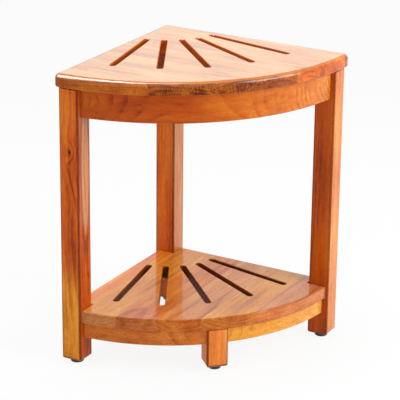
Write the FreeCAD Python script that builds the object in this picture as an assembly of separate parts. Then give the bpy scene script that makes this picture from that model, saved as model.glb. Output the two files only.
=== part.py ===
import FreeCAD, Part
import math
import os

# Corner shower bench in oiled hardwood. A quarter-round seat and a quarter-round shelf, each with
# five fanned drain slots, stand on three square legs and a short middle foot. Curved aprons close
# the front, straight rails run along the two walls, and four levelling feet take up an uneven floor.
# Millimetres, +Z up. One wall runs along X behind the bench, the other along Y at its left.
# Plan places are measured from the corner where the legs' outer faces would meet: along the back
# wall (u) and along the side wall, towards the room (v). The drawing is the same both ways round.

os.makedirs("parts", exist_ok=True)

# Heights above the floor
seat_top = 457.0
seat_thickness = 20.0
shelf_underside = 70.0
shelf_thickness = 20.0
leg_clearance = 5.0

# Seat panel, the quarter circle that sets the plan
seat_radius = 315.0
seat_overhang = 5.0
seat_corner_radius = 8.0
seat_top_round = 7.0
seat_bottom_round = 3.0
seat_stave_count = 7
seat_first_joint = 10.5
seat_front_stave_width = 31.0

# Legs, whose outer faces stay inside the seat's two ends
leg_setback = 4.0
leg_width = 34.0
leg_arris = 4.5
leg_top_arris = 2.0
leg_toe_radius = 8.0

# Shelf panel, whose arc is struck from a point a little way out from the corner
shelf_arc_offset = 19.0
shelf_setback = 4.0
shelf_arris = 1.2
shelf_stave_count = 6
shelf_first_joint_in_leg = 2.0
shelf_last_joint_past_slots = 9.2
shelf_leg_gap = 0.4

# Drain slots, the same fan in both panels
slot_count = 5
slot_pitch_degrees = 17.0
slot_inner = 88.0
slot_rim = 72.0
slot_width = 9.5
slot_arris = 0.8
shelf_fan_offset = 11.3

# Rails and aprons
frame_inset = 7.0
rail_thickness = 18.0
upper_rail_height = 44.0
lower_rail_height = 25.5
upper_apron_setback = 10.0
lower_apron_offset = 12.5
lower_apron_setback = 9.0
rail_arris = 1.2
middle_foot_proud = 4.4

# Corner blocks under the seat
block_height = 30.0
block_arm = 38.0
block_screw_bite = 21.0

# Dowels and screws
dowel_radius = 4.0
dowel_half_length = 12.5
dowel_edge_distance = 10.0
dowel_chamfer = 1.0
foot_dowel_setback = 9.0
foot_dowel_depth = 12.0
screw_radius = 2.0
screw_head_radius = 4.0
screw_head_height = 2.4
screw_recess_length = 4.0
screw_recess_width = 0.9
screw_recess_depth = 1.5
screw_bite = 13.0
screw_tip_length = 4.0
seat_screw_from_rail = 7.0
seat_screw_along = 16.0
rail_screw_end_distance = 51.0
apron_screw_degrees = 20.0

# Levelling feet
pad_radius = 10.0
pad_top_radius = 8.8
pad_edge = 1.0
pad_sole = 1.2
pad_gap = 0.3
pad_lip = 1.1
stem_radius = 3.0
stem_disc_radius = 5.5
stem_play = 0.3
stem_tip_chamfer = 0.8
stem_engagement = 24.0
collar_across_flats = 10.0
collar_height = 2.0
collar_recess_radius = 7.5
collar_recess_clearance = 0.5
insert_radius = 5.0
insert_length = 13.0
insert_bore_clearance = 0.08
insert_groove = 0.6
insert_grooves = 4
stem_hole_clearance = 0.6
stem_hole_spare = 2.0

# Tolerances of the drawing
overrun = 2.0
touch = 0.01

# Worked-out heights and places
diagonal = math.cos(math.radians(45))
half_plan = (seat_radius - seat_overhang) / 2
leg_span = seat_radius - leg_setback
slot_outer = seat_radius - slot_rim
upper_apron_radius = seat_radius - upper_apron_setback
shelf_radius = leg_span - shelf_arc_offset - shelf_setback
lower_apron_radius = leg_span - lower_apron_offset - lower_apron_setback
middle_foot_reach = lower_apron_offset / diagonal + lower_apron_radius + middle_foot_proud
seat_underside = seat_top - seat_thickness
shelf_top = shelf_underside + shelf_thickness
upper_rail_bottom = seat_underside - upper_rail_height
lower_rail_bottom = shelf_underside - lower_rail_height
far_leg = leg_span - leg_width
rail_inner = frame_inset + rail_thickness
rail_middle = frame_inset + rail_thickness / 2
leg_middle = leg_width / 2
foot_middle = middle_foot_reach - leg_width / 2
upper_dowel_heights = (upper_rail_bottom + dowel_edge_distance, seat_underside - dowel_edge_distance)
lower_dowel_height = (lower_rail_bottom + shelf_underside) / 2
block_bottom = seat_underside - block_height
block_screw_height = (upper_dowel_heights[0] + upper_dowel_heights[1]) / 2
slot_angles = [45 + slot_pitch_degrees * (i - (slot_count - 1) / 2) for i in range(slot_count)]
up = FreeCAD.Vector(0, 0, 1)


def place(u, v, z=0.0):
    """The point u along the back wall, v out along the side wall and z above the floor."""
    return FreeCAD.Vector(u - half_plan, half_plan - v, z)


def block(u0, u1, v0, v1, z0, z1):
    return Part.makeBox(u1 - u0, v1 - v0, z1 - z0, place(u0, v1, z0))


def rod(start, end, radius):
    return Part.makeCylinder(radius, (end - start).Length, start, end - start)


def prism(edges, height):
    return Part.Face(Part.Wire(edges)).extrude(up * height)


def polygon_prism(points, z0, z1):
    corners = [place(u, v, z0) for u, v in points]
    return Part.Face(Part.makePolygon(corners + corners[:1])).extrude(up * (z1 - z0))


def turned(profile, axis_point):
    """A round piece from its half section, given as (radius, height) points."""
    corners = [axis_point + FreeCAD.Vector(radius, 0, height) for radius, height in profile]
    return Part.Face(Part.makePolygon(corners + corners[:1])).revolve(axis_point, up, 360)


def upright_edges(solid):
    box = solid.BoundBox
    return [e for e in solid.Edges if e.BoundBox.ZLength > box.ZLength - touch]


def edges_at(solid, height):
    return [e for e in solid.Edges if abs(e.BoundBox.ZMin - height) + abs(e.BoundBox.ZMax - height) < touch]


def edges_near(solid, height, cutters):
    return [e for e in edges_at(solid, height) if min(c.distToShape(e)[0] for c in cutters) < touch]


def arc_reach(centre, radius, offset):
    """How far out an arc centred at (centre, centre) is, at the given distance from a wall."""
    return centre + math.sqrt(radius ** 2 - (offset - centre) ** 2)


def quarter_panel(edge, centre, radius, z0, thickness):
    """Two straight sides along the walls, closed by an arc towards the room."""
    reach = arc_reach(centre, radius, edge)
    bulge = centre + radius * diagonal
    corner = place(edge, edge, z0)
    side_end = place(edge, reach, z0)
    back_end = place(reach, edge, z0)
    sides = [Part.LineSegment(back_end, corner).toShape(), Part.LineSegment(corner, side_end).toShape()]
    front = Part.Arc(side_end, place(bulge, bulge, z0), back_end).toShape()
    return prism(sides + [front], thickness)


def slot_cutter(fan_centre, angle, z0, z1):
    """A round-ended slot that points away from the fan's centre."""
    turn = math.radians(angle)

    def spot(along, across):
        u = fan_centre + along * math.cos(turn) - across * math.sin(turn)
        v = fan_centre + along * math.sin(turn) + across * math.cos(turn)
        return place(u, v, z0)

    half = slot_width / 2
    near = slot_inner + half
    far = slot_outer - half
    edges = [
        Part.LineSegment(spot(near, -half), spot(far, -half)).toShape(),
        Part.Arc(spot(far, -half), spot(slot_outer, 0), spot(far, half)).toShape(),
        Part.LineSegment(spot(far, half), spot(near, half)).toShape(),
        Part.Arc(spot(near, half), spot(slot_inner, 0), spot(near, -half)).toShape(),
    ]
    return prism(edges, z1 - z0)


def slotted(panel, fan_centre):
    """The panel with its fan of drain slots and their softened upper edges."""
    top = panel.BoundBox.ZMax
    low = panel.BoundBox.ZMin - overrun
    cutters = [slot_cutter(fan_centre, angle, low, top + overrun) for angle in slot_angles]
    panel = panel.cut(cutters)
    return panel.makeChamfer(slot_arris, edges_near(panel, top, cutters))


def glue_lines(first, last, count):
    """Where the joints between so many staves lie, evenly from the first joint to the last."""
    width = (last - first) / (count - 2)
    return [first + width * i for i in range(count - 1)]


def staves(panel, lines, start, end, along_back_wall):
    """The panel sawn at its glue lines, one solid or group of solids for each stave."""
    lines = [start - overrun] + lines + [end + overrun]
    z0 = panel.BoundBox.ZMin - overrun
    z1 = panel.BoundBox.ZMax + overrun
    low = start - overrun
    high = end + overrun
    pieces = []
    for a, b in zip(lines, lines[1:]):
        slab = block(low, high, a, b, z0, z1) if along_back_wall else block(a, b, low, high, z0, z1)
        pieces.append(panel.common(slab))
    return pieces


def make_seat():
    panel = quarter_panel(-seat_overhang, 0, seat_radius, seat_underside, seat_thickness)
    panel = panel.makeFillet(seat_corner_radius, upright_edges(panel))
    panel = panel.makeFillet(seat_top_round, edges_at(panel, seat_top))
    panel = panel.makeFillet(seat_bottom_round, edges_at(panel, seat_underside))
    return slotted(panel, 0)


def make_shelf():
    panel = quarter_panel(frame_inset, shelf_arc_offset, shelf_radius, shelf_underside, shelf_thickness)
    z0 = shelf_underside - overrun
    z1 = shelf_top + overrun
    near = leg_width + shelf_leg_gap
    far = far_leg - shelf_leg_gap
    panel = panel.cut(block(-overrun, near, -overrun, near, z0, z1))
    panel = panel.cut(block(-overrun, near, far, leg_span + overrun, z0, z1))
    panel = panel.cut(block(far, leg_span + overrun, -overrun, near, z0, z1))
    panel = panel.makeChamfer(shelf_arris, edges_at(panel, shelf_top) + edges_at(panel, shelf_underside))
    return slotted(panel, shelf_fan_offset)


def toe_profile(z0, z1):
    """The side view of a post: straight sides with a rounded toe, as a slab wider than the post."""
    half = leg_width / 2
    low = half - leg_toe_radius
    bend = leg_toe_radius * (1 - diagonal)
    wide = half + overrun

    def spot(x, z):
        return FreeCAD.Vector(x, -wide, z)

    edges = [
        Part.LineSegment(spot(-low, z0), spot(low, z0)).toShape(),
        Part.Arc(spot(low, z0), spot(half - bend, z0 + bend), spot(half, z0 + leg_toe_radius)).toShape(),
        Part.LineSegment(spot(half, z0 + leg_toe_radius), spot(half, z1)).toShape(),
        Part.LineSegment(spot(half, z1), spot(-half, z1)).toShape(),
        Part.LineSegment(spot(-half, z1), spot(-half, z0 + leg_toe_radius)).toShape(),
        Part.Arc(spot(-half, z0 + leg_toe_radius), spot(bend - half, z0 + bend), spot(-low, z0)).toShape(),
    ]
    return Part.Face(Part.Wire(edges)).extrude(FreeCAD.Vector(0, 2 * wide, 0))


def make_post(z1, u, v, turn=0.0):
    """A square post on the floor side of the frame, bored from below for its levelling foot."""
    z0 = leg_clearance
    half = leg_width / 2
    post = Part.makeBox(leg_width, leg_width, z1 - z0, FreeCAD.Vector(-half, -half, z0))
    post = post.makeFillet(leg_arris, upright_edges(post))
    across = toe_profile(z0, z1)
    post = post.common(across)
    across.rotate(FreeCAD.Vector(0, 0, 0), up, 90)
    post = post.common(across)
    post = post.makeChamfer(leg_top_arris, edges_at(post, z1))
    recess_top = z0 + collar_height + collar_recess_clearance
    insert_top = recess_top + insert_length
    hole_top = z0 + stem_engagement + stem_hole_spare
    post = post.cut([
        rod(FreeCAD.Vector(0, 0, z0 - overrun), FreeCAD.Vector(0, 0, recess_top), collar_recess_radius),
        rod(FreeCAD.Vector(0, 0, z0), FreeCAD.Vector(0, 0, insert_top), insert_radius),
        rod(FreeCAD.Vector(0, 0, z0), FreeCAD.Vector(0, 0, hole_top), stem_radius + stem_hole_clearance),
    ])
    post.rotate(FreeCAD.Vector(0, 0, 0), up, turn)
    post.translate(place(u, v))
    return post


def make_insert(u, v):
    """A grooved brass sleeve, threaded inside, driven into the end of a post."""
    bottom = leg_clearance + collar_height + collar_recess_clearance
    bore = stem_radius + insert_bore_clearance
    land = insert_length / (2 * insert_grooves + 1)
    profile = [(bore, bottom), (insert_radius, bottom)]
    for i in range(insert_grooves):
        low = bottom + land * (2 * i + 1)
        high = low + land
        profile += [(insert_radius, low), (insert_radius - insert_groove, low)]
        profile += [(insert_radius - insert_groove, high), (insert_radius, high)]
    top = bottom + insert_length
    profile += [(insert_radius, top), (bore, top)]
    return turned(profile, place(u, v))


def pad_cavity():
    """Bottom and top of the socket in a pad that holds the disc of the stem."""
    top = leg_clearance - pad_gap - pad_lip
    return pad_sole, top


def make_pad(u, v):
    """A tapered round pad with a lipped socket, so that the stem can turn in it."""
    top = leg_clearance - pad_gap
    low, high = pad_cavity()
    wide = stem_disc_radius + stem_play
    neck = stem_radius + stem_play
    profile = [
        (0, 0), (pad_radius - pad_edge, 0), (pad_radius, pad_edge), (pad_top_radius, top),
        (neck, top), (neck, high), (wide, high), (wide, low), (0, low),
    ]
    return turned(profile, place(u, v))


def make_stem(u, v):
    """The threaded stem: a disc held in the pad, a spanner collar and the screw above it."""
    low, high = pad_cavity()
    top = leg_clearance + stem_engagement
    profile = [
        (0, low + stem_play), (stem_disc_radius, low + stem_play), (stem_disc_radius, high - stem_play),
        (stem_radius, high - stem_play), (stem_radius, top - stem_tip_chamfer),
        (stem_radius - stem_tip_chamfer, top), (0, top),
    ]
    stem = turned(profile, place(u, v))
    corner = collar_across_flats / (2 * math.cos(math.radians(30)))
    ring = [
        (u + corner * math.cos(math.radians(60 * i)), v + corner * math.sin(math.radians(60 * i)))
        for i in range(6)
    ]
    return stem.fuse(polygon_prism(ring, leg_clearance, leg_clearance + collar_height)).removeSplitter()


def make_straight_rail(bottom, height, swap):
    """A rail between the back leg and a front leg, set in from the legs' outer faces."""
    across = (frame_inset, rail_inner)
    along = (leg_width, far_leg)
    u, v = (along, across) if swap else (across, along)
    rail = block(u[0], u[1], v[0], v[1], bottom, bottom + height)
    return rail.makeFillet(rail_arris, edges_at(rail, bottom))


def arc_rail(centre, radius, bottom, height):
    """A full quarter of a curved rail, before its ends are cut."""
    outer = rod(place(centre, centre, bottom), place(centre, centre, bottom + height), radius)
    bore = radius - rail_thickness
    bore_top = bottom + height + overrun
    inner = rod(place(centre, centre, bottom - overrun), place(centre, centre, bore_top), bore)
    reach = centre + radius + overrun
    quarter = block(leg_width, reach, leg_width, reach, bottom, bottom + height)
    return outer.cut(inner).common(quarter)


def make_upper_apron():
    apron = arc_rail(0, upper_apron_radius, upper_rail_bottom, upper_rail_height)
    return apron.makeFillet(rail_arris, edges_at(apron, upper_rail_bottom))


def make_lower_apron(swap):
    """One half of the lower apron, from a front leg to the side of the middle foot."""
    apron = arc_rail(lower_apron_offset, lower_apron_radius, lower_rail_bottom, lower_rail_height)
    reach = leg_span + seat_radius
    width = leg_width / 2 / diagonal
    side = [(0, width), (reach, width + reach), (0, width + reach)]
    if swap:
        side = [(v, u) for u, v in side]
    apron = apron.common(polygon_prism(side, lower_rail_bottom - overrun, shelf_underside + overrun))
    return apron.makeFillet(rail_arris, edges_at(apron, lower_rail_bottom))


def make_back_block():
    """The corner block that ties the two rails to the back leg and carries the seat's screws."""
    end = leg_width + block_arm
    outline = [
        (rail_inner, end), (rail_inner, leg_width), (leg_width, leg_width),
        (leg_width, rail_inner), (end, rail_inner),
    ]
    return polygon_prism(outline, block_bottom, seat_underside)


def make_front_block(swap):
    """The corner block between a straight rail, a front leg and the curved apron."""
    inner_radius = upper_apron_radius - rail_thickness
    end = leg_width + block_arm
    outline = [
        (rail_inner, far_leg - block_arm), (rail_inner, far_leg), (leg_width, far_leg),
        (leg_width, leg_span), (end, leg_span), (end, arc_reach(0, inner_radius, end)),
    ]
    if swap:
        outline = [(v, u) for u, v in outline]
    inside = rod(place(0, 0, block_bottom), place(0, 0, seat_underside), inner_radius)
    return polygon_prism(outline, block_bottom, seat_underside).common(inside)


def make_dowel(middle, direction):
    """A beech dowel with chamfered ends, half of it in each of the two pieces that it joins."""
    direction = FreeCAD.Vector(direction).normalize()
    start = middle - direction * dowel_half_length
    dowel = rod(start, middle + direction * dowel_half_length, dowel_radius)
    rims = [e for e in dowel.Edges if len(e.Vertexes) == 1]
    return dowel.makeChamfer(dowel_chamfer, rims)


def screw_form(head, direction, length):
    """The outer form of a countersunk wood screw: cone head, plain shank and pointed tip."""
    direction = FreeCAD.Vector(direction).normalize()
    tip = head + direction * (length - screw_tip_length)
    cone = Part.makeCone(screw_head_radius, screw_radius, screw_head_height, head, direction)
    shank = rod(head, tip, screw_radius)
    point = Part.makeCone(screw_radius, 0, screw_tip_length, tip, direction)
    return shank.fuse([cone, point]).removeSplitter()


def cross_recess(head, direction):
    """The cross in a screw's head, as two thin slots at right angles."""
    corner = FreeCAD.Vector(-screw_recess_length / 2, -screw_recess_width / 2, 0)
    arm = Part.makeBox(screw_recess_length, screw_recess_width, screw_recess_depth, corner)
    across = arm.copy()
    across.rotate(FreeCAD.Vector(0, 0, 0), up, 90)
    cross = arm.fuse(across)
    cross.Placement = FreeCAD.Placement(head, FreeCAD.Rotation(up, direction))
    return cross


def make_screw(head, direction, length):
    """The screw as it is driven, with the recess for the driver in its head."""
    return screw_form(head, direction, length).cut(cross_recess(head, direction))


def upper_dowel_list():
    """Two dowels at each end of the upper rails and of the curved apron."""
    apron_middle = arc_reach(0, upper_apron_radius - rail_thickness / 2, leg_width)
    back = FreeCAD.Vector(1, 0, 0)
    side = FreeCAD.Vector(0, 1, 0)
    dowels = []
    for z in upper_dowel_heights:
        dowels += [make_dowel(place(rail_middle, v, z), side) for v in (leg_width, far_leg)]
        dowels += [make_dowel(place(u, rail_middle, z), back) for u in (leg_width, far_leg)]
        dowels.append(make_dowel(place(leg_width, apron_middle, z), back))
        dowels.append(make_dowel(place(apron_middle, leg_width, z), side))
    return dowels


def lower_dowel_list():
    """One dowel at each end of the lower rails and aprons, and one up into the shelf."""
    middle_radius = lower_apron_radius - rail_thickness / 2
    apron_middle = arc_reach(lower_apron_offset, middle_radius, leg_width)
    back = FreeCAD.Vector(1, 0, 0)
    side = FreeCAD.Vector(0, 1, 0)
    tangent = back + side
    z = lower_dowel_height
    dowels = [make_dowel(place(rail_middle, v, z), side) for v in (leg_width, far_leg)]
    dowels += [make_dowel(place(u, rail_middle, z), back) for u in (leg_width, far_leg)]
    dowels.append(make_dowel(place(leg_width, apron_middle, z), back))
    dowels.append(make_dowel(place(apron_middle, leg_width, z), side))
    bulge = lower_apron_offset + middle_radius * diagonal
    half = leg_width / 2 * diagonal
    dowels.append(make_dowel(place(bulge - half, bulge + half, z), tangent))
    dowels.append(make_dowel(place(bulge + half, bulge - half, z), tangent))
    inner = (foot_middle - foot_dowel_setback) * diagonal
    depth = foot_dowel_depth - dowel_half_length
    dowels.append(make_dowel(place(inner, inner, shelf_underside + depth), up))
    return dowels


def seat_screw_list():
    """Two screws up through each corner block into the seat, as (head, way in, length)."""
    length = block_height + screw_bite
    off = rail_inner + seat_screw_from_rail
    near = leg_width + seat_screw_along
    inner_radius = upper_apron_radius - rail_thickness
    ahead = arc_reach(0, inner_radius, near) - seat_screw_from_rail
    spots = [(off, near), (near, off)]
    spots += [(off, far_leg - seat_screw_along), (far_leg - seat_screw_along, off)]
    spots += [(near, ahead), (ahead, near)]
    return [(place(u, v, block_bottom), up, length) for u, v in spots]


def block_screw_list():
    """One level screw through each corner block into the inner edge of its leg."""
    end = leg_width + block_arm
    inner_radius = upper_apron_radius - rail_thickness
    back_heel = ((rail_inner + end) / 2, (rail_inner + end) / 2)
    front_u = (rail_inner + end) / 2
    front_v = (far_leg - block_arm + arc_reach(0, inner_radius, end)) / 2
    pairs = [
        (back_heel, (leg_width, leg_width)),
        ((front_u, front_v), (leg_width, far_leg)),
        ((front_v, front_u), (far_leg, leg_width)),
    ]
    screws = []
    for heel, edge in pairs:
        head = place(heel[0], heel[1], block_screw_height)
        way = place(edge[0], edge[1], block_screw_height) - head
        screws.append((head, way, way.Length + block_screw_bite))
    return screws


def shelf_screw_list():
    """Screws up through the lower rails and aprons into the shelf."""
    length = lower_rail_height + screw_bite
    near = leg_width + rail_screw_end_distance
    far = far_leg - rail_screw_end_distance
    spots = [(rail_middle, near), (rail_middle, far), (near, rail_middle), (far, rail_middle)]
    middle_radius = lower_apron_radius - rail_thickness / 2
    for angle in (45 - apron_screw_degrees, 45 + apron_screw_degrees):
        turn = math.radians(angle)
        u = lower_apron_offset + middle_radius * math.cos(turn)
        v = lower_apron_offset + middle_radius * math.sin(turn)
        spots.append((u, v))
    return [(place(u, v, lower_rail_bottom), up, length) for u, v in spots]


def bored(piece, fillings):
    """The piece with a hole for every dowel and screw that reaches it."""
    holes = [form for form in fillings if form.BoundBox.intersect(piece.BoundBox)]
    return piece.cut(holes) if holes else piece


upper_dowels = upper_dowel_list()
lower_dowels = lower_dowel_list()
screw_lists = {
    "seat_screws": seat_screw_list(),
    "block_screws": block_screw_list(),
    "shelf_screws": shelf_screw_list(),
}
screw_forms = [screw_form(*screw) for screws in screw_lists.values() for screw in screws]
fillings = upper_dowels + lower_dowels + screw_forms

foot_spots = {
    "left": (leg_middle, far_leg + leg_middle, 0),
    "back": (leg_middle, leg_middle, 0),
    "right": (far_leg + leg_middle, leg_middle, 0),
    "middle": (foot_middle * diagonal, foot_middle * diagonal, 45),
}

wood = {
    "leg_left": make_post(seat_underside, *foot_spots["left"]),
    "leg_back": make_post(seat_underside, *foot_spots["back"]),
    "leg_right": make_post(seat_underside, *foot_spots["right"]),
    "middle_foot": make_post(shelf_underside, *foot_spots["middle"]),
    "upper_apron": make_upper_apron(),
    "upper_rail_side": make_straight_rail(upper_rail_bottom, upper_rail_height, False),
    "upper_rail_back": make_straight_rail(upper_rail_bottom, upper_rail_height, True),
    "lower_rail_side": make_straight_rail(lower_rail_bottom, lower_rail_height, False),
    "lower_rail_back": make_straight_rail(lower_rail_bottom, lower_rail_height, True),
    "lower_apron_left": make_lower_apron(False),
    "lower_apron_right": make_lower_apron(True),
    "corner_block_back": make_back_block(),
    "corner_block_left": make_front_block(False),
    "corner_block_right": make_front_block(True),
}

seat_last_joint = seat_radius - seat_front_stave_width
seat_lines = glue_lines(seat_first_joint, seat_last_joint, seat_stave_count)
seat_staves = staves(make_seat(), seat_lines, -seat_overhang, seat_radius, True)
for i, stave in enumerate(seat_staves):
    wood["seat_stave_%d" % (i + 1)] = stave

shelf_end = arc_reach(shelf_arc_offset, shelf_radius, shelf_arc_offset)
shelf_first_joint = leg_width - shelf_first_joint_in_leg
slots_end = shelf_fan_offset + slot_outer * math.cos(math.radians(slot_angles[0]))
shelf_lines = glue_lines(shelf_first_joint, slots_end + shelf_last_joint_past_slots, shelf_stave_count)
shelf_staves = staves(make_shelf(), shelf_lines, frame_inset, shelf_end, False)
for i, stave in enumerate(shelf_staves):
    wood["shelf_stave_%d" % (i + 1)] = stave

pieces = {name: bored(piece, fillings) for name, piece in wood.items()}
pieces["upper_dowels"] = Part.makeCompound(upper_dowels)
pieces["lower_dowels"] = Part.makeCompound(lower_dowels)
for name, screws in screw_lists.items():
    pieces[name] = Part.makeCompound([make_screw(*screw) for screw in screws])
pieces["insert_nuts"] = Part.makeCompound([make_insert(u, v) for u, v, turn in foot_spots.values()])
for name, (u, v, turn) in foot_spots.items():
    pieces["pad_" + name] = make_pad(u, v)
    pieces["stem_" + name] = make_stem(u, v)

for name, piece in pieces.items():
    piece.exportStep("parts/%s.step" % name)
    print(name, len(piece.Solids), "solids", round(piece.Volume), "mm3", "valid", piece.isValid())
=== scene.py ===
# %% [markdown]
# # A corner shower bench
# This lesson dresses a small wooden bench that stands in the corner of a shower: a quarter-round
# seat over a quarter-round shelf, on three square legs and a short middle foot. The construction
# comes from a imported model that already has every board, dowel and screw at its real size, so the
# work here is light, camera, oiled wood, metal and plastic. All sizes are in metres, +Z is up, one
# wall runs along X behind the bench and the other along Y at its left.

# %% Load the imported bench
import math
import bmesh
import bpy
from mathutils import Matrix, Vector


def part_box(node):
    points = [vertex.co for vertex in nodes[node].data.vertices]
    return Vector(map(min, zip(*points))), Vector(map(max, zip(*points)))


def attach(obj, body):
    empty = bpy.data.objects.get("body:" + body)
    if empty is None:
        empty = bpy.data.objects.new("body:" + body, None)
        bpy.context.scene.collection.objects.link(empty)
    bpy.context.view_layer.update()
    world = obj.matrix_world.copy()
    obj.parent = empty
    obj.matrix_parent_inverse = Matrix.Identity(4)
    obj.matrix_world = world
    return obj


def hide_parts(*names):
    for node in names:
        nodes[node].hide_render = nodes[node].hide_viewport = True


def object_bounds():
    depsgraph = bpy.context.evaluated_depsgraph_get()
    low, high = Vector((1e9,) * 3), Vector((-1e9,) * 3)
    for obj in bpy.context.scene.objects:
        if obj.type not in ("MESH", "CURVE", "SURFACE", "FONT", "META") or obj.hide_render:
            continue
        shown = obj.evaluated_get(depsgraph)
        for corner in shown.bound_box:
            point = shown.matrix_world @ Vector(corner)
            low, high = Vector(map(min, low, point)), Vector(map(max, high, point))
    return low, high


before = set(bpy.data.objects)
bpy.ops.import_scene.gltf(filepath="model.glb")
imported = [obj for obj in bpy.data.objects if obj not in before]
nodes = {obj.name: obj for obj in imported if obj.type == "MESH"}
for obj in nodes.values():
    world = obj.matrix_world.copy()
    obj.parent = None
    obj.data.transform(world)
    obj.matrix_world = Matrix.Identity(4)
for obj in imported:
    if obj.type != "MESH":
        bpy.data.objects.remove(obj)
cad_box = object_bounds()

scene = bpy.context.scene
bench_middle = (cad_box[0] + cad_box[1]) / 2
print("nodes", len(nodes), "box", [round(x, 3) for x in cad_box[0]], [round(x, 3) for x in cad_box[1]])

# %% [markdown]
# ## Camera
# The bench was photographed from its right front, from a little above the seat, with a long lens. A
# long lens keeps the legs nearly parallel. The camera has no shift, so the same camera can walk round
# the bench. Its direction is given as three turns: yaw about the vertical, pitch down, and roll.

# %% Place the camera
camera_place = Vector((1.3395, -2.3968, 1.2616))
camera_yaw = math.radians(29.2864)
camera_pitch = math.radians(20.3643)
camera_roll = math.radians(0.6316)
camera_lens = 174.94
film_width = 36.0


def aim(yaw, pitch, roll):
    """The turn of a camera that looks along +Y at zero yaw and pitch."""
    right = Vector((math.cos(yaw), math.sin(yaw), 0))
    ahead = Vector((-math.sin(yaw) * math.cos(pitch), math.cos(yaw) * math.cos(pitch), -math.sin(pitch)))
    top = right.cross(ahead)
    rolled_right = right * math.cos(roll) + top * math.sin(roll)
    rolled_top = top * math.cos(roll) - right * math.sin(roll)
    return Matrix((rolled_right, rolled_top, -ahead)).transposed()


camera = bpy.data.objects.new("camera", bpy.data.cameras.new("camera"))
camera.data.lens = camera_lens
camera.data.sensor_width = film_width
camera.matrix_world = Matrix.Translation(camera_place) @ aim(camera_yaw, camera_pitch, camera_roll).to_4x4()
scene.collection.objects.link(camera)
scene.camera = camera
print("camera", round((camera_place - bench_middle).length, 2), "m from the middle of the bench")

# %% [markdown]
# ## Writing shaders as sums
# A procedural material is a net of nodes. Drawn by hand it is hard to read, so a small class wraps
# one socket and lets Python's own signs add the Math nodes: `1 - mask * 0.3` makes two of them.

# %% A socket that can be added and multiplied
class Value:
    """One output of a node, as a term in an expression."""

    def __init__(self, recipe, socket):
        self.recipe = recipe
        self.socket = socket

    def __add__(self, other):
        return self.recipe.maths("ADD", self, other)

    __radd__ = __add__

    def __sub__(self, other):
        return self.recipe.maths("SUBTRACT", self, other)

    def __rsub__(self, other):
        return self.recipe.maths("SUBTRACT", other, self)

    def __mul__(self, other):
        return self.recipe.maths("MULTIPLY", self, other)

    __rmul__ = __mul__

    def __truediv__(self, other):
        return self.recipe.maths("DIVIDE", self, other)

    def __rtruediv__(self, other):
        return self.recipe.maths("DIVIDE", other, self)


print("a Value answers to + - * /")

# %% [markdown]
# The nodes themselves are added by a second class, which holds a material's tree. Colours and
# directions have three numbers, and a Math node would turn them grey, so they go through Mix and
# Vector Math nodes instead.

# %% A material as a recipe
class Recipe:
    """A material's node tree, built up one node at a time."""

    def __init__(self, owner):
        self.owner = owner
        owner.use_nodes = True
        self.tree = owner.node_tree
        self.tree.nodes.clear()

    def add(self, kind, settings, sockets, output=0):
        """Adds a node: its settings first, then the values or links of its sockets."""
        node = self.tree.nodes.new(kind)
        for name, setting in settings.items():
            setattr(node, name, setting)
        for name, value in sockets.items():
            if isinstance(value, Value):
                self.tree.links.new(value.socket, node.inputs[name])
            else:
                node.inputs[name].default_value = value
        return Value(self, node.outputs[output]) if node.outputs else None

    def maths(self, operation, first, second=0.0, clamp=False):
        """One sum on numbers."""
        settings = {"operation": operation, "use_clamp": clamp}
        return self.add("ShaderNodeMath", settings, {0: first, 1: second})

    def vector(self, operation, first, second, output=0):
        """One sum on places or directions."""
        return self.add("ShaderNodeVectorMath", {"operation": operation}, {0: first, 1: second}, output)

    def combine(self, x, y, z):
        """A place from its three numbers."""
        return self.add("ShaderNodeCombineXYZ", {}, {"X": x, "Y": y, "Z": z})

    def length(self, place):
        """How far a place is from zero."""
        return self.vector("LENGTH", place, (0, 0, 0), "Value")

    def mix(self, factor, first, second):
        """Goes from the first colour to the second as the factor goes from 0 to 1."""
        return self.add(
            "ShaderNodeMix", {"data_type": "RGBA"}, {0: factor, 6: first, 7: second}, 2)

    def step(self, value, start, end):
        """A soft step: 0 at the start, 1 at the end, also where the end is the lower of the two."""
        return self.add(
            "ShaderNodeMapRange", {"interpolation_type": "SMOOTHSTEP"},
            {"Value": value, "From Min": start, "From Max": end})

    def noise(self, place, scale, detail, roughness=0.5):
        """Soft noise between 0 and 1, with so many grains in each metre."""
        return self.add(
            "ShaderNodeTexNoise", {},
            {"Vector": place, "Scale": scale, "Detail": detail, "Roughness": roughness})

    def finish(self, shader, output="ShaderNodeOutputMaterial"):
        """Sends the shader to the surface and hands over what it was made for."""
        self.add(output, {}, {"Surface": shader})
        return self.owner


def material(name):
    """A new material with an empty tree."""
    return Recipe(bpy.data.materials.new(name))


def paint(red, green, blue):
    """A colour as it is read off a screen, from 0 to 255, as the linear light that shaders use."""
    def linear(level):
        share = level / 255
        return share / 12.92 if share <= 0.04045 else ((share + 0.055) / 1.055) ** 2.4
    return (linear(red), linear(green), linear(blue), 1)


print("a middle grey of 128 is", round(paint(128, 128, 128)[0], 3), "of full light")

# %% [markdown]
# ## Lamps
# The photograph is a plain studio shot on white. One broad lamp stands on the right, so the
# right-hand faces are the bright ones, and a smaller one hangs overhead. A dim fill at the front
# left lifts the front faces. Reflections don't show it, so it puts no sheen on them. A dim panel
# behind the bench is there to be mirrored in the seat and the shelf, which lie at a flat angle to the
# camera. A tall card high at the left is seen by shiny surfaces only: it draws the thin white line
# along the seat's rounded edge and lights nothing else.

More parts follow.
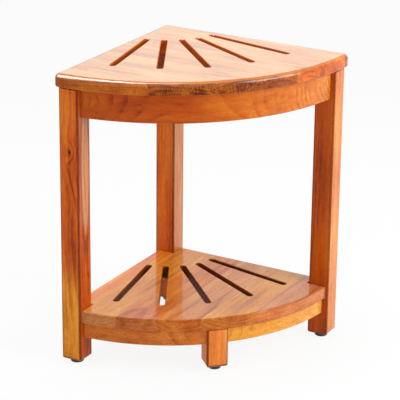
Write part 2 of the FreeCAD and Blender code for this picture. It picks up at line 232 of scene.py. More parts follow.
# %% Lamps
lamps = {
    "key_softbox": {"place": (1.9, 0.1, 1.2), "watts": 32.0, "width": 1.2, "height": 1.2},
    "top_softbox": {"place": (-0.3, -0.2, 2.6), "watts": 19.0, "width": 1.0, "height": 1.0},
    "front_fill": {"place": (-0.8, -2.4, 0.5), "watts": 8.0, "width": 1.2, "height": 1.0},
    "sheen_panel": {"place": (-0.43, 0.79, 0.80), "watts": 1.1, "width": 1.3, "height": 0.34},
    "edge_card": {"place": (-0.85, -0.74, 1.68), "watts": 100.0, "width": 1.0, "height": 1.9},
}


def softbox(name, place, watts, width, height):
    """A rectangular lamp that points at the middle of the bench."""
    lamp = bpy.data.lights.new(name, "AREA")
    lamp.shape = "RECTANGLE"
    lamp.energy = watts
    lamp.size = width
    lamp.size_y = height
    holder = bpy.data.objects.new(name, lamp)
    holder.location = place
    holder.rotation_euler = (bench_middle - Vector(place)).to_track_quat("-Z", "Y").to_euler()
    holder.visible_camera = False
    scene.collection.objects.link(holder)
    return holder


holders = {name: softbox(name, **facts) for name, facts in lamps.items()}
holders["edge_card"].visible_diffuse = False
holders["front_fill"].visible_glossy = False
print("lamps", list(lamps))

# %% [markdown]
# ## The white room
# Everything round the bench is white. The camera and every reflection see the world at full white,
# but as a light it is only half as strong, or the shadows between the boards would wash out. A Light
# Path node tells the two apart.

# %% World
ambient_level = 0.5


def seen_directly(recipe):
    """1 where the camera, a mirror image or a clear pane looks at the surface, else 0."""
    path = recipe.tree.nodes.new("ShaderNodeLightPath")
    rays = ("Is Camera Ray", "Is Glossy Ray", "Is Transmission Ray")
    camera_ray, glossy_ray, clear_ray = [Value(recipe, path.outputs[ray]) for ray in rays]
    return recipe.maths("ADD", camera_ray + glossy_ray, clear_ray, clamp=True)


world = bpy.data.worlds.new("studio")
scene.world = world
sky = Recipe(world)
sky_strength = ambient_level + seen_directly(sky) * (1 - ambient_level)
backdrop = sky.add("ShaderNodeBackground", {}, {"Color": (1, 1, 1, 1), "Strength": sky_strength})
sky.finish(backdrop, "ShaderNodeOutputWorld")
scene.view_settings.view_transform = "Standard"
print("world", world.name, "lights the bench at", ambient_level)

# %% [markdown]
# ## Floor
# A pale floor that looks white to the camera but still shows the bench's soft shadow. Most of what
# the camera sees is plain white light; the rest is a matt surface, and only that part darkens.

# %% Floor
floor_reach = 6.0
floor_white_share = 0.9
floor_grey = (240, 240, 240)
floor_mesh = bpy.data.meshes.new("floor")
form = bmesh.new()
bmesh.ops.create_grid(form, x_segments=1, y_segments=1, size=floor_reach)
form.to_mesh(floor_mesh)
form.free()
floor = bpy.data.objects.new("floor", floor_mesh)
scene.collection.objects.link(floor)

pale = material("pale_floor")
matt = pale.add("ShaderNodeBsdfDiffuse", {}, {"Color": paint(*floor_grey)})
white = pale.add("ShaderNodeEmission", {}, {"Color": (1, 1, 1, 1), "Strength": 1.0})
floor_mix = pale.add(
    "ShaderNodeMixShader", {}, {0: seen_directly(pale) * floor_white_share, 1: matt, 2: white})
floor_mesh.materials.append(pale.finish(floor_mix))
print("floor reaches", floor_reach, "m each way")

# %% [markdown]
# ## Tones of the wood
# A board isn't one colour. Its early wood is bright, its late wood is dark, and most of it is a body
# colour in between. So each tone below is three screen colours: late wood, body, early wood. The
# bench is made of one kind of wood, but its boards run from a pale peach to a red brown, and some
# change along their length. Edges have tones of their own, because they cut through the fibres.

# %% Tones of the faces
peach = ((176, 100, 30), (204, 134, 54), (224, 160, 84))
pale_peach = ((182, 106, 34), (208, 138, 58), (226, 162, 84))
orange = ((176, 78, 8), (214, 114, 20), (234, 148, 50))
# A brighter orange: partly a board's own tone, partly a painted reflection of the back leg in the shelf.
orange_and_leg_reflection = ((190, 90, 16), (236, 130, 30), (250, 160, 60))
foot_orange = ((176, 82, 20), (222, 124, 46), (238, 150, 74))
golden = ((184, 94, 12), (228, 140, 34), (242, 172, 64))
gold = ((190, 108, 22), (230, 152, 48), (244, 182, 78))
honey = ((196, 112, 26), (232, 152, 54), (244, 178, 84))
fawn = ((168, 88, 30), (218, 132, 62), (236, 164, 94))
rose = ((160, 82, 34), (212, 130, 74), (232, 162, 106))
amber = ((140, 66, 14), (198, 106, 36), (222, 140, 60))
chestnut = ((136, 46, 4), (204, 88, 8), (224, 122, 30))
umber = ((104, 42, 6), (168, 76, 18), (200, 112, 40))
red_brown = ((128, 44, 4), (178, 73, 6), (198, 94, 14))
print("peach is", peach[1], "and red brown is", red_brown[1])

# %% Tones of edges and sides
seat_edge = ((74, 22, 2), (122, 48, 5), (178, 96, 18))
brown_edge = ((98, 35, 4), (148, 67, 11), (192, 102, 27))
warm_edge = ((112, 42, 4), (164, 78, 10), (202, 112, 26))
bright_edge = ((140, 54, 4), (200, 90, 10), (232, 126, 30))
russet = ((142, 64, 18), (194, 102, 42), (216, 130, 66))
tawny = ((140, 60, 12), (198, 98, 26), (224, 130, 50))
tan = ((142, 78, 28), (192, 116, 56), (214, 142, 78))
side_brown = ((104, 34, 4), (190, 78, 12), (214, 104, 26))
lit_side_tan = ((176, 92, 34), (206, 124, 58), (222, 146, 84))

pore_colour = (84, 32, 6)
# Painted shade on softened edges, and the dark line round a flame at the end of a year.
ring_end_and_edge_shade = (96, 32, 5)
knot_colour = (52, 14, 4)
print("pores are", pore_colour, "and softened edges are", ring_end_and_edge_shade)

# %% [markdown]
# ## Oiled wood
# A board is a piece of a tree: rings round a pith that lies somewhere outside the board, with pores
# that run along the grain. So the colour isn't painted on the faces. It is worked out in space from
# the distance to the pith, and every cut through it comes out right by itself: stripes on a
# quarter-sawn face, pointed arches on a flat-sawn one, arcs and dots on an end. For that each board
# needs its own three directions: along the grain, across it and into its depth.

# %% A board's own directions
X_AXIS = Vector((1, 0, 0))
Y_AXIS = Vector((0, 1, 0))
Z_AXIS = Vector((0, 0, 1))


def own_place(recipe):
    """Where a point lies in the bench's frame, in metres. It moves with its piece."""
    return recipe.add("ShaderNodeTexCoord", {}, {}, "Object")


def facing(recipe):
    """The direction in which the surface faces, in the same frame."""
    return recipe.add("ShaderNodeTexCoord", {}, {}, "Normal")


def board_axes(grain, across):
    """A board's three directions, square to each other, from two that may be rough."""
    grain = Vector(grain).normalized()
    across = (Vector(across) - grain * grain.dot(Vector(across))).normalized()
    return grain, across, grain.cross(across)


def read_along(recipe, vector, axes):
    """A place or direction as numbers, one along each axis."""
    return [recipe.vector("DOT_PRODUCT", vector, axis, "Value") for axis in axes]


print("a leg's depth runs along", [round(x) for x in board_axes(Z_AXIS, X_AXIS)[2]])

# %% [markdown]
# The figure of the wood is built from eight noises. A tree grows long and thin cells, so each noise
# is drawn out along the grain: it has a length, a width, a number of finer layers and a roughness.

# %% Noises of the wood
noises = {
    "wander": (0.30, 0.16, 2.0, 0.5),
    "ripple": (0.07, 0.03, 1.0, 0.5),
    "patch": (0.12, 0.03, 1.0, 0.5),
    "cloud": (0.13, 0.05, 1.5, 0.5),
    "streak": (0.24, 0.010, 3.0, 0.6),
    "hair": (0.05, 0.0024, 2.0, 0.6),
    "mottle": (0.012, 0.0045, 2.0, 0.6),
    "pore": (0.0075, 0.0007, 0.0, 0.5),
}


def stretched(recipe, spot, kind):
    """One of the noises at a spot in the board, centred on zero."""
    length, width, detail, roughness = noises[kind]
    drawn_out = recipe.vector("MULTIPLY", spot, (1 / length, 1 / width, 1 / width))
    return recipe.noise(drawn_out, 1.0, detail, roughness) - 0.5


print("a pore is", noises["pore"][0], "m long and", noises["pore"][1], "m wide")

# %% [markdown]
# Each year leaves a ring that darkens slowly and ends at a sharp edge. The pith wanders a centimetre
# or two along the board, which bends the rings into arches, and a finer ripple keeps them from
# looking drawn with a compass. No two years are of one width, so a slow noise shifts the rings.

# %% Growth rings
ring_spacing = 0.0062
late_wood_start = 0.35
late_wood_end = 0.93
wander_side = 0.045
wander_deep = 0.030
ripple_reach = 0.004
uneven_rings = 4
uneven_years = 2.5


def growth_rings(wood, spot, side, deep, pith, bulge):
    """How dark the ring is at a place, from 0 in the early wood to 1 at the end of a year."""
    wander = stretched(wood, spot, "wander")
    ripple = stretched(wood, spot, "ripple") * ripple_reach
    pith_side = side - pith[0] + wander * wander_side + ripple
    pith_deep = deep - pith[1] + wander * wander_deep - ripple
    away = wood.length(wood.combine(pith_side, pith_deep, 0.0)) + bulge
    uneven = wood.noise(wood.combine(away / (ring_spacing * uneven_rings), 0.0, 0.0), 1.0, 1.0)
    year = wood.maths("FRACT", away / ring_spacing + uneven * uneven_years)
    return wood.step(year, late_wood_start, late_wood_end) - wood.step(year, late_wood_end, 1.0)


print("rings", ring_spacing, "m apart")

# %% [markdown]
# Where a branch left the trunk there is a knot: the rings bulge round it and its core is almost
# black. A flame is the opposite of one, a calm pale figure where a face just cuts through the top of
# a ring. It has a dark outline, the end of that year.

# %% Knots and flames
knot_squeeze = 0.7
knot_bulge_reach = 5
knot_bulge_height = 2.2
knot_core_share = 0.3
flame_inside = (0.70, 0.95)
flame_rise = (0.75, 1.0)
flame_fall = (1.0, 1.35)


def knot(wood, long, side, place, radius):
    """A bulge for the rings round a knot, and the dark of its core."""
    gap = wood.combine((long - place[0]) * knot_squeeze, side - place[1], 0.0)
    reach = wood.length(gap)
    bulge = (1 - wood.step(reach, 0.0, radius * knot_bulge_reach)) * (radius * knot_bulge_height)
    return bulge, 1 - wood.step(reach, radius * knot_core_share, radius)


def flame_figure(wood, long, deep, place, half_length, half_width):
    """The pale figure where a face cuts through the top of a ring, and its dark outline."""
    shape = wood.combine((long - place[0]) / half_length, (deep - place[1]) / half_width, 0.0)
    reach = wood.length(shape)
    inside = 1 - wood.step(reach, *flame_inside)
    return inside, wood.step(reach, *flame_rise) - wood.step(reach, *flame_fall)


print("a knot bends the rings out to", knot_bulge_reach, "times its radius")

# %% [markdown]
# Each way of cutting a board shows in its colour: an end drinks more oil, a softened edge is darkened, on
# most boards as painted shade, and a narrow side has tones of its own. They are told apart by the direction
# in which the surface faces, read along the board's own directions. A panel's upper edge is told by its
# depth direction alone: there the mask starts where the round leaves the upright edge and stops at the flat
# top. The walls of the drain slots face the same ways as the outer edge, so they are told by their place:
# away from the two walls and inside the round edge.

# %% Ends, edges and slots
end_span = (0.45, 0.95)
side_span = (0.55, 0.85)
flat_span = (0.97, 1.0)
plan_corner = Vector((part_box("leg_back")[0].x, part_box("leg_back")[1].y, 0))
slot_margin = (0.008, 0.010)
slot_reach = (0.268, 0.274)


def surface_cuts(wood, axes, arris, lip):
    """Three masks: a cut across the grain, a softened arris or lip, and the board's narrow edges."""
    along, side, deep = [wood.maths("ABSOLUTE", part) for part in read_along(wood, facing(wood), axes)]
    squarest = wood.maths("MAXIMUM", wood.maths("MAXIMUM", along, side), deep)
    if lip:
        softened = wood.step(deep, *lip) - wood.step(deep, *flat_span)
    else:
        softened = 1 - wood.step(squarest, *arris)
    return wood.step(along, *end_span), softened, 1 - wood.step(deep, *side_span)


def slot_walls(wood, edge):
    """1 on the upright walls of the drain slots, 0 on the panel's outer edges."""
    from_corner = wood.vector("SUBTRACT", own_place(wood), plan_corner)
    out = wood.length(wood.vector("MULTIPLY", from_corner, X_AXIS + Y_AXIS))
    from_walls = wood.maths("MINIMUM", *read_along(wood, from_corner, (X_AXIS, -Y_AXIS)))
    return edge * wood.step(from_walls, *slot_margin) * (1 - wood.step(out, *slot_reach))


print("slots lie within", slot_reach[0], "m of the corner")

# %% [markdown]
# Rings, streaks, clouds, fine hairs and mottle add up to one number, the tone, and the tone picks a
# colour between late wood and early wood. A figure of four shares says how strong rings, streaks,
# clouds and mottle are on a board. Rings show in patches only, as on a real planed face.

# %% From figure to colour
plain_figure = (0.3, 0.5, 0.5, 0.35)
resting_tone = 0.55
resting_ring = 0.35
patch_span = (-0.14, 0.12)
streak_strength = 1.5
cloud_strength = 1.6
hair_strength = 0.4
body_span = (0.02, 0.55)
early_span = (0.45, 1.0)


def board_tone(wood, spot, rings, streak, cloud, figure):
    """How light the wood is at a spot, from 0 to 1."""
    ring_share, streak_share, cloud_share, mottle_share = figure
    patchy = wood.step(stretched(wood, spot, "patch"), *patch_span)
    tone = resting_tone + (resting_ring - rings) * patchy * ring_share
    tone = tone + streak * streak_share * streak_strength + cloud * cloud_share * cloud_strength
    tone = tone + stretched(wood, spot, "hair") * hair_strength
    return tone + stretched(wood, spot, "mottle") * mottle_share


def toned(wood, tone, tones):
    """The colour at a tone from 0 to 1: late wood, the body of the board, then early wood."""
    late, body, early = [paint(*colour) for colour in tones]
    return wood.mix(wood.step(tone, *early_span), wood.mix(wood.step(tone, *body_span), late, body), early)


print("a plain board's rings, streaks, clouds and mottle:", plain_figure)

# %% [markdown]
# Some boards change colour on the way. A fade goes over to other tones, along the board or from one
# side of it to the other, and its border wanders a little with the clouds. A fade along the board
# wanders by centimetres, one across it by a few millimetres, so that it stays on its own face.

# %% Fades, flames and rims
fade_wander = 0.06
side_wander = 0.004
flame_wander = 0.05
flame_fray = 0.004
flame_outline_share = 0.6
flame_inside_share = 0.8
spark_size = (700, 700, 160)


def faded(wood, colour, tone, long, side, cloud, fade):
    """Goes over to other tones where the board is far enough along, or across, from its middle."""
    along_share, side_share, start, end, fade_tones = fade
    wander = cloud * (along_share * fade_wander + side_wander)
    reach = wood.step(long * along_share + side * side_share + wander, start, end)
    return wood.mix(reach, colour, toned(wood, tone, fade_tones))


def flamed(wood, colour, tone, long, deep, cloud, streak, flame):
    """Draws a flame with its dark outline and pale inside."""
    inside, outline = flame_figure(wood, long + cloud * flame_wander, deep + streak * flame_fray, *flame)
    colour = wood.mix(outline * flame_outline_share, colour, paint(*ring_end_and_edge_shade))
    return wood.mix(inside * flame_inside_share, colour, toned(wood, tone, peach))


def rimmed(wood, colour, tone, spot, edge, rim_tones, rim_sparkle):
    """Gives the narrow edges tones of their own, with short cut fibres that glitter."""
    spark = wood.noise(wood.vector("MULTIPLY", spot, spark_size), 1.0, 1.0) - 0.5
    return wood.mix(edge, colour, toned(wood, tone + spark * rim_sparkle, rim_tones))


print("a fade's border wanders by about", fade_wander / 2, "m along a board")

# %% [markdown]
# A cut across the grain drinks more oil and goes dark. A softened edge is darkened as well, to its lip
# colour. Where a board has no lip colour of its own, this is painted shade: the dark band that a rounded
# edge shows between two lit faces. The open ends of the pores stay as paler flecks in both.

# %% Oil in the cuts
fleck_size = 0.0022
fleck_layers = 2.0
fleck_roughness = 0.7
fleck_span = (0.40, 0.62)
end_fleck_share = 0.6
slant_fleck_share = 0.2


def oiled_ends_and_darkened_edges(wood, colour, spot, end, slant, cut_darkness, lip_colour):
    """Darkens ends with oil, and softened edges to their lip colour, which by default is painted shade;
    flecks stay paler.
    """
    fleck = wood.step(wood.noise(spot, 1 / fleck_size, fleck_layers, fleck_roughness), *fleck_span)
    end_darkness, slant_darkness = cut_darkness
    colour = wood.mix(end * (1 - fleck * end_fleck_share) * end_darkness, colour, paint(*pore_colour))
    return wood.mix(slant * (1 - fleck * slant_fleck_share) * slant_darkness, colour, paint(*lip_colour))


print("flecks are", fleck_size, "m wide")

# %% [markdown]
# The finish is a rubbed oil under a thin hard wax. The wood below is matt and the wax is a smooth
# clear coat, so faces seen at a low angle pick up a pale sheen while those seen square on keep their
# deep colour. The photograph shows almost no sheen on the upright faces that look along -Y, so the
# wax is thinner there. Pores and the dark ends of the years lie a little lower than the rest.

# %% Wax
wax_roughness = 0.11
wax_index = 1.5
front_wax_share = 0.2
front_span = (0.15, 0.8)
upward_span = (0.05, 0.3)
bare_gloss = 0.05
bare_roughness = 0.46
pore_roughness = 0.2
streak_roughness = 0.2
pore_sink = 0.9
ring_sink = 0.2
relief_strength = 0.14
relief_depth = 0.0004


def waxed(wood, colour, pores, rings, streak, wax):
    """Matt wood under a clear coat, whose strength the wax gives from 0 to 1."""
    upward, frontward = read_along(wood, facing(wood), (Z_AXIS, -Y_AXIS))
    front = wood.step(frontward, *front_span) * (1 - wood.step(upward, *upward_span))
    relief = pores * -pore_sink - rings * ring_sink
    bump = wood.add("ShaderNodeBump", {}, {
        "Strength": relief_strength, "Distance": relief_depth, "Height": relief})
    return wood.add("ShaderNodeBsdfPrincipled", {}, {
        "Base Color": colour, "Normal": bump, "Specular IOR Level": bare_gloss,
        "Roughness": bare_roughness + pores * pore_roughness + streak * streak_roughness,
        "Coat Weight": (1 - front * (1 - front_wax_share)) * wax,
        "Coat Roughness": wax_roughness, "Coat IOR": wax_index})


print("front faces keep", front_wax_share, "of the wax")

# %% [markdown]
# Now one function makes a whole board. Each board is cut from its own place in the tree, so each
# gets its own pith, its own drift through the noises and its own tones. The wax is also thin in the
# slots, on the shelf's edge and where splashes have worn it off near the floor.

# %% A board of oiled wood
drift_steps = (3.17, 1.93, 2.71)
pore_span = (0.10, 0.24)
slot_oil_and_shade_share = 0.75
slot_wax_share = 0.15
worn_share = 0.75


def oiled_wood(name, centre, grain, across, pith, seed, tones, figure=plain_figure,
               cut_darkness=(0.3, 0.7), arris=(0.76, 0.98), lip=None, lip_colour=ring_end_and_edge_shade, lip_wax=1.0,
               rim_tones=None, rim_sparkle=0.0, slot_colour=None, pore_darkness=0.3, fades=(), branch=None,
               flame=None, wax_worn=None):
    """The material of one board, whose place, grain and pith say what its faces show."""
    wood = material(name)
    axes = board_axes(grain, across)
    long, side, deep = read_along(wood, wood.vector("SUBTRACT", own_place(wood), centre), axes)
    drift = Vector([seed * step for step in drift_steps])
    spot = wood.vector("ADD", wood.combine(long, side, deep), drift)
    bulge, core = knot(wood, long, side, *branch) if branch else (0.0, None)
    rings = growth_rings(wood, spot, side, deep, pith, bulge)
    streak = stretched(wood, spot, "streak")
    cloud = stretched(wood, spot, "cloud")
    tone = board_tone(wood, spot, rings, streak, cloud, figure)
    colour = toned(wood, tone, tones)
    for fade in fades:
        colour = faded(wood, colour, tone, long, side, cloud, fade)
    if flame:
        colour = flamed(wood, colour, tone, long, deep, cloud, streak, flame)
    end, slant, edge = surface_cuts(wood, axes, arris, lip)
    if rim_tones:
        colour = rimmed(wood, colour, tone, spot, edge, rim_tones, rim_sparkle)
    colour = oiled_ends_and_darkened_edges(wood, colour, spot, end, slant, cut_darkness, lip_colour)
    wax = 1 - slant * (1 - lip_wax)
    if slot_colour:
        walls = slot_walls(wood, edge)
        # The slot walls take the slot colour: on the seat the oil they drank, on the shelf painted shade.
        colour = wood.mix(walls * slot_oil_and_shade_share, colour, paint(*slot_colour))
        wax = wax * (1 - walls * (1 - slot_wax_share))
    if wax_worn:
        wax = wax * (1 - wood.step(long, *wax_worn) * worn_share)
    pores = wood.step(stretched(wood, spot, "pore"), *pore_span)
    colour = wood.mix(pores * pore_darkness, colour, paint(*pore_colour))
    if core:
        colour = wood.mix(core, colour, paint(*knot_colour))
    return wood.finish(waxed(wood, colour, pores, rings, streak, wax))


def dress(node, finish):
    """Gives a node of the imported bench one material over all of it."""
    mesh = nodes[node].data
    mesh.materials.clear()
    mesh.materials.append(finish)


def middle(node):
    """The middle of a node's box."""
    low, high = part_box(node)
    return (low + high) / 2


print("ready to dress", len(nodes), "nodes")

# %% [markdown]
# ## Seat
# The seat is glued up from seven staves that run along the back wall. They are the palest boards of
# the bench and show soft clouds and streaks more than rings. The round edge cuts each stave at
# another slant, so each has an edge tone of its own: dark and glittering in the middle, smoother and
# brighter to both sides. The round at the top of the edge and the walls of the slots took in more
# oil and are a strong orange.

# %% Seat staves
seat_seed = 1.3
seat_pith_swing = 0.018
seat_pith_turn = 2.1
seat_pith_depth = 0.055
seat_pith_step = 0.012
seat_figure = (0.3, 0.8, 1.1, 0.35)
seat_lip = (0.62, 0.88)
seat_lip_colour = (204, 92, 10)
seat_slot_colour = (206, 104, 20)
seat_tones = [
    (peach, brown_edge, 0.8), (pale_peach, bright_edge, 0.5), (peach, bright_edge, 0.5),
    (pale_peach, brown_edge, 0.8), (peach, seat_edge, 1.3), (pale_peach, seat_edge, 1.3),
    (peach, warm_edge, 0.6)]
for i, (tones, rim_tones, sparkle) in enumerate(seat_tones):
    node = "seat_stave_%d" % (i + 1)
    pith = (seat_pith_swing * math.sin(seat_pith_turn * i), -seat_pith_depth - seat_pith_step * (i % 3))
    finish = oiled_wood(
        node + "_wood", middle(node), X_AXIS, Y_AXIS, pith, seat_seed + i, tones, figure=seat_figure,
        cut_darkness=(0.0, 0.8), lip=seat_lip, lip_colour=seat_lip_colour, rim_tones=rim_tones,
        rim_sparkle=sparkle, slot_colour=seat_slot_colour)
    dress(node, finish)
print("seat staves", len(seat_tones))

# %% [markdown]
# ## Shelf
# The shelf's six staves run the other way, along the side wall, and they differ more: orange, golden, fawn
# and rosy boards lie side by side. Its edge is a little browner than its face. The small chamfer along its
# top is dark and has hardly any wax, and the walls of its slots are painted dark brown, as painted shade
# inside the narrow slots.

# %% Shelf staves
shelf_seed = 11.7
shelf_pith_swing = 0.022
shelf_pith_turn = 1.7
shelf_pith_depth = 0.048
shelf_pith_step = 0.014
shelf_figure = (0.3, 0.8, 0.8, 0.35)
shelf_lip = (0.40, 0.65)
shelf_lip_colour = (150, 66, 14)
shelf_lip_wax = 0.1
shelf_sparkle = 0.5
shelf_slot_shade = (96, 38, 6)
# The first stave, beside the back leg, has the brightest orange, partly a painted reflection of that leg.
shelf_tones = [
    (orange_and_leg_reflection, russet), (golden, tan), (orange, russet), (fawn, tawny), (honey, amber), (rose, russet)]
for i, (tones, rim_tones) in enumerate(shelf_tones):
    node = "shelf_stave_%d" % (i + 1)
    pith = (shelf_pith_swing * math.cos(shelf_pith_turn * i), -shelf_pith_depth - shelf_pith_step * (i % 3))
    finish = oiled_wood(
        node + "_wood", middle(node), Y_AXIS, X_AXIS, pith, shelf_seed + i, tones, figure=shelf_figure,
        cut_darkness=(0.3, 0.4), lip=shelf_lip, lip_colour=shelf_lip_colour, lip_wax=shelf_lip_wax,
        rim_tones=rim_tones, rim_sparkle=shelf_sparkle, slot_colour=shelf_slot_shade)
    dress(node, finish)
print("shelf staves", len(shelf_tones))

# %% [markdown]
# ## Legs
# The left leg was sawn near the edge of its log: it is chestnut brown above and turns honey-coloured
# towards the floor, along a slanting line. It has one small knot high on its front, a long pale flame on
# its right side, and its wax is worn towards the floor. The right leg is dark red brown on its front and
# painted orange on its right side, and the back leg's right side is painted tan: painted light, for the
# light and sheen of the broad lamp on the right. The middle foot is a short end of an orange board, set on
# the diagonal. All their softened edges are painted dark brown, as painted shade.

# %% Legs
side_start = 0.0130
side_end = 0.0166
knot_place = (0.119, 0.002)
knot_radius = 0.0034
flame_place = (0.09, 0.001)
flame_half_length = 0.12
flame_half_width = 0.011
honey_slant = 0.5
honey_start = -0.05
honey_end = -0.13
worn_start = -0.04
worn_end = -0.12
leg_seed = 23.1
leg_seed_step = 1.7
leg_pith_reach = (0.035, 0.05)
leg_pith_turn = 2.4
leg_facts = {
    "leg_left": {
        "tones": chestnut, "branch": (knot_place, knot_radius), "wax_worn": (worn_start, worn_end),
        "flame": (flame_place, flame_half_length, flame_half_width),
        "fades": [(1.0, honey_slant, honey_start, honey_end, honey),
                  (0.0, 1.0, side_start, side_end, side_brown)]},
    # The fades across the back and right legs paint their right faces lighter: painted light from the broad
    # lamp on the right.
    "leg_back": {"tones": chestnut, "fades": [(0.0, 1.0, side_start, side_end, lit_side_tan)]},
    "leg_right": {"tones": red_brown, "fades": [(0.0, 1.0, side_start, side_end, orange)]},
    "middle_foot": {"tones": foot_orange},
}
for i, (node, facts) in enumerate(leg_facts.items()):
    turn = leg_pith_turn * i
    pith = (leg_pith_reach[0] * math.cos(turn), leg_pith_reach[1] * math.sin(turn + 1))
    across = X_AXIS + Y_AXIS if node == "middle_foot" else X_AXIS
    # The wide arris band and the strong edge darkness paint shade on the legs' rounded edges.
    finish = oiled_wood(
        node + "_wood", middle(node), Z_AXIS, across, pith, leg_seed + leg_seed_step * i,
        figure=(0.3, 0.7, 0.8, 0.5), cut_darkness=(0.3, 0.85), arris=(0.88, 0.995), pore_darkness=0.15,
        **facts)
    dress(node, finish)
print("legs", list(leg_facts))

# %% [markdown]
# ## Rails and aprons
# The straight rails along the walls are plain red-brown boards that are hardly seen. The aprons are curved,
# and each was sawn from a thick plank: the grain stays straight while the face curves out of it. So the
# grain runs roughly along a chord, and the rings open into wide arcs where the face leaves it, as near the
# right end of the upper apron. The upper apron is also painted from red brown to orange towards its right
# end: painted light, for the lamp on the right that falls more squarely on that end. The left lower apron
# is amber and the right one gold, both with open dark pores.

# %% Rails and aprons
rail_seed = 31.4
rail_pith = (0.02, 0.06)
rails = {
    "upper_rail_back": X_AXIS, "upper_rail_side": Y_AXIS,
    "lower_rail_back": X_AXIS, "lower_rail_side": Y_AXIS,
}
for i, (node, grain) in enumerate(rails.items()):
    finish = oiled_wood(node + "_wood", middle(node), grain, Z_AXIS, rail_pith, rail_seed + i, red_brown)
    dress(node, finish)

apron_seed = 41.9
apron_pith = (0.006, -0.05)
upper_grain = X_AXIS + 0.72 * Y_AXIS
left_grain = X_AXIS + 0.4 * Y_AXIS
right_grain = 0.4 * X_AXIS + Y_AXIS
# The fade to orange towards the right end of the upper apron is painted light from the lamp on the right.
painted_light_start = -0.06
painted_light_end = 0.14
aprons = {
    "upper_apron": {"grain": upper_grain, "tones": red_brown, "figure": (0.35, 0.5, 0.5, 0.4),
                    "fades": [(1.0, 0.0, painted_light_start, painted_light_end, orange)]},
    "lower_apron_left": {"grain": left_grain, "tones": amber, "pore_darkness": 0.55},
    "lower_apron_right": {"grain": right_grain, "tones": gold, "pore_darkness": 0.5},
}
for i, (node, facts) in enumerate(aprons.items()):
    finish = oiled_wood(
        node + "_wood", middle(node), across=Z_AXIS, pith=apron_pith, seed=apron_seed + i,
        cut_darkness=(0.3, 0.0), **facts)
    dress(node, finish)
print("rails and aprons", len(rails) + len(aprons))

# %% [markdown]
# ## Blocks and dowels
# The corner blocks under the seat are offcuts of darker wood, with their grain across the corner. The
# dowels are turned from a pale wood. Their pith is put far away, so the rings cross them nearly
# straight.

# %% Hidden blocks and dowels
block_seed = 52.3
block_pith = (0.01, 0.04)
dowel_seed = 61.0
dowel_pith = (0.3, 0.3)
for i, node in enumerate(("corner_block_back", "corner_block_left", "corner_block_right")):
    finish = oiled_wood(
        node + "_wood", middle(node), X_AXIS - Y_AXIS, Z_AXIS, block_pith, block_seed + i, umber)
    dress(node, finish)
for i, node in enumerate(("upper_dowels", "lower_dowels")):
    finish = oiled_wood(node + "_wood", middle(node), X_AXIS, Z_AXIS, dowel_pith, dowel_seed + i, peach)
    dress(node, finish)
print("materials so far", len(bpy.data.materials))

# %% [markdown]
# ## Metal and plastic
# The small hidden pieces are zinc-plated steel, brass and black nylon. Metal gets its life from
# uneven roughness, and the plastic from a fine moulded grain.

# %% Metal and plastic
scratches_per_metre = (900, 900, 160)
scratch_layers = 2.0
scratch_colour = (120, 112, 100)
scratch_share = 0.3
scratch_roughness = 0.2
grains_per_metre = 2600.0
grain_layers = 2.0
grain_colour = (44, 44, 46)
grain_strength = 0.3
grain_depth = 0.0002
nylon_roughness = 0.48
grain_roughness = 0.12


def plated(name, colour, roughness):
    """Bright metal with fine scratches."""
    metal = material(name)
    drawn_out = metal.vector("MULTIPLY", own_place(metal), scratches_per_metre)
    scratches = metal.noise(drawn_out, 1.0, scratch_layers)
    shader = metal.add("ShaderNodeBsdfPrincipled", {}, {
        "Base Color": metal.mix(scratches * scratch_share, paint(*colour), paint(*scratch_colour)),
        "Roughness": roughness + (scratches - 0.5) * scratch_roughness, "Metallic": 1.0})
    return metal.finish(shader)


def moulded(name, colour):
    """Plastic with the fine grain of its mould."""
    nylon = material(name)
    grain = nylon.noise(own_place(nylon), grains_per_metre, grain_layers)
    bump = nylon.add("ShaderNodeBump", {}, {
        "Strength": grain_strength, "Distance": grain_depth, "Height": grain})
    shader = nylon.add("ShaderNodeBsdfPrincipled", {}, {
        "Base Color": nylon.mix(grain, paint(*colour), paint(*grain_colour)),
        "Roughness": nylon_roughness + grain * grain_roughness, "Normal": bump})
    return nylon.finish(shader)


zinc = plated("zinc_plate", (206, 204, 196), 0.3)
brass = plated("brass", (206, 170, 98), 0.28)
black_nylon = moulded("black_nylon", (24, 24, 26))
for node in ("seat_screws", "block_screws", "shelf_screws"):
    dress(node, zinc)
dress("insert_nuts", brass)
feet = ("left", "back", "right", "middle")
for foot in feet:
    dress("pad_" + foot, black_nylon)
print("metal and plastic:", zinc.name, brass.name, black_nylon.name)

# %% [markdown]
# ## Threaded stems
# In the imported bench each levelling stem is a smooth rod, because the motion needs no thread: its
# joint already turns it once for each millimetre of travel. When a foot is screwed out, though, the
# thread shows. So a modelled stem takes the place of each smooth one. It is three closed forms: the
# rod with the disc that turns in the pad, a six-sided collar for a spanner, and the thread above.

# %% Sizes of a stem
stem_radius = 0.003
stem_disc_radius = 0.0055
stem_disc_height = 0.0018
collar_width = 0.010
collar_height = 0.002
collar_bevel = 0.0003
collar_sides = 6
collar_corner = collar_width / 2 / math.cos(math.pi / collar_sides)
thread_pitch = 0.001
thread_depth = 0.0006
thread_sides = 24
thread_shares = (0.0, 0.2, 0.8, 1.0, 0.8, 0.2)
rod_sides = 2 * thread_sides
weld_reach = 1e-7
sharp_angle = math.radians(40)
leg_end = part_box("leg_left")[0].z
print("legs end", round(leg_end, 4), "m above the floor")

# %% [markdown]
# The rod and the collar are turned from a side view. A thread could be cut with a helical sweep and a
# boolean, but that is slow and leaves slivers. Here the rows of points follow the helix themselves:
# each row ends one pitch higher after a turn, where it meets a later row.

# %% Turning and threading
def on_circle(centre, radius, turn, height):
    """A point on a circle about the upright line through the centre."""
    return centre.x + radius * math.cos(turn), centre.y + radius * math.sin(turn), height


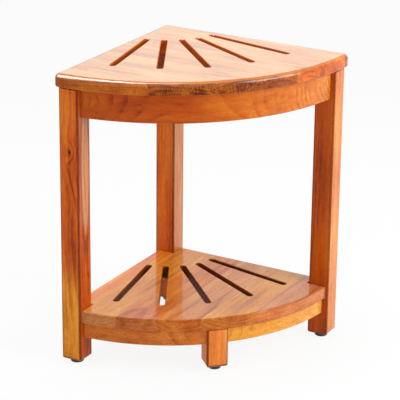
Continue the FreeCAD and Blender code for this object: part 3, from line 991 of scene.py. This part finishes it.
def spin(form, centre, profile, sides):
    """Turns a side view, from its bottom to its top, about the upright line through the centre."""
    turns = [2 * math.pi * i / sides for i in range(sides)]
    rings = []
    for radius, height in profile:
        ring = turns if radius else turns[:1]
        rings.append([form.verts.new(on_circle(centre, radius, turn, height)) for turn in ring])
    for low, high in zip(rings, rings[1:]):
        for i in range(sides):
            j = (i + 1) % sides
            corners = (low[i % len(low)], low[j % len(low)], high[j % len(high)], high[i % len(high)])
            form.faces.new(list(dict.fromkeys(corners)))


def cut_thread(form, centre, low, high):
    """A helical ridge from one height to another, which tapers away at both ends."""
    rows = len(thread_shares)
    row_height = thread_pitch / rows
    count = math.ceil((high - low) / row_height) + 2 * rows
    root = stem_radius - thread_depth
    grid = {}
    for j in range(count):
        for i in range(thread_sides):
            height = low + (j - rows + i * rows / thread_sides) * row_height
            height = min(max(height, low), high)
            radius = root + min(thread_depth * thread_shares[j % rows], height - low, high - height)
            grid[i, j] = form.verts.new(on_circle(centre, radius, 2 * math.pi * i / thread_sides, height))
    for j in range(count - rows - 1):
        for i in range(thread_sides):
            beside = (i + 1, j) if i + 1 < thread_sides else (0, j + rows)
            above = (beside[0], beside[1] + 1)
            form.faces.new((grid[i, j], grid[beside], grid[above], grid[i, j + 1]))
    bmesh.ops.remove_doubles(form, verts=list(grid.values()), dist=weld_reach)


print("a thread has", len(thread_shares), "rows of", thread_sides, "points to a turn")

# %% [markdown]
# Each stem rides on its own body, so that in a pose it moves down with its pad and turns in it.

# %% Stems with a real thread
for foot in feet:
    low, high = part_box("stem_" + foot)
    centre = (low + high) / 2
    disc_top = low.z + stem_disc_height
    collar_top = leg_end + collar_height
    form = bmesh.new()
    spin(form, centre, [
        (0, low.z), (stem_disc_radius, low.z), (stem_disc_radius, disc_top),
        (stem_radius, disc_top), (stem_radius, leg_end), (0, leg_end)], rod_sides)
    spin(form, centre, [
        (0, leg_end), (collar_corner - collar_bevel, leg_end), (collar_corner, leg_end + collar_bevel),
        (collar_corner, collar_top - collar_bevel), (collar_corner - collar_bevel, collar_top),
        (0, collar_top)], collar_sides)
    cut_thread(form, centre, collar_top, high.z)
    open_edges = [edge for edge in form.edges if edge.is_boundary]
    bmesh.ops.holes_fill(form, edges=open_edges, sides=0)
    bmesh.ops.recalc_face_normals(form, faces=form.faces)
    mesh = bpy.data.meshes.new("threaded_stem_" + foot)
    form.to_mesh(mesh)
    print(mesh.name, "faces", len(mesh.polygons), "open edges left", sum(e.is_boundary for e in form.edges))
    form.free()
    mesh.shade_smooth()
    mesh.set_sharp_from_angle(angle=sharp_angle)
    mesh.materials.append(zinc)
    stem = bpy.data.objects.new(mesh.name, mesh)
    scene.collection.objects.link(stem)
    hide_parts("stem_" + foot)
    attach(stem, "stem_" + foot)
